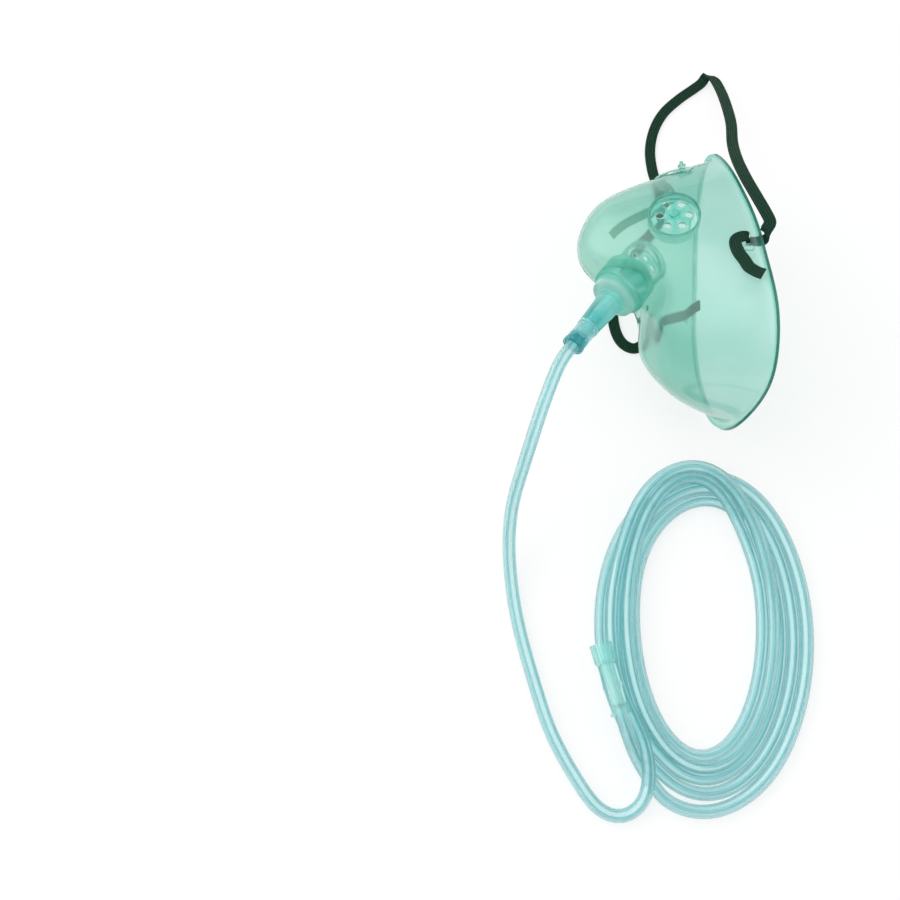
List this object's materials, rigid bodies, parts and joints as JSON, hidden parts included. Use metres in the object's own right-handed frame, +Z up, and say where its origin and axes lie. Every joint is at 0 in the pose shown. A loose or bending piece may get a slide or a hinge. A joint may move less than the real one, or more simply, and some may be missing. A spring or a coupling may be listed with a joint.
{
  "type": "oxygen face mask",
  "caption": "Clear teal face mask with a nose clip, elastic head strap, exhalation discs and a swivel connector, with its coiled supply tube.",
  "frame": {"origin": "on the surface that the part lies on, under the middle of the mask, strap and swivel connector", "axes": "+Z up; +Y from the chin of the lying mask towards its nose end and the strap's crease; +X from the nose of the mask towards its open back"},
  "size_m": [0.1474, 0.4092, 0.0937],
  "materials": {
    "mask_vinyl": "clear soft vinyl, glossy",
    "clip_metal": "soft strip, satin",
    "strap_elastic": "woven elastic with fine ribs",
    "connector_plastic": "translucent, glossy",
    "tube_vinyl": "clear tube, glossy"
  },
  "bodies": {
    "mask": {"mask_shell": "mask_vinyl", "nose_clip": "clip_metal", "head_strap": "strap_elastic", "oxygen_tube": "tube_vinyl", "tube_coil": "tube_vinyl", "tube_tail": "tube_vinyl", "supply_connector": "connector_plastic"},
    "swivel": {"swivel_connector": "connector_plastic", "tube_connector": "connector_plastic"}
  },
  "joints": [
    {"name": "connector_swivel", "type": "hinge", "parent": "mask", "child": "swivel", "pos_m": [-0.01846, -0.04527, 0.05537], "axis": [-0.6033, -0.7835, 0.1491], "continuous": true}
  ]
}
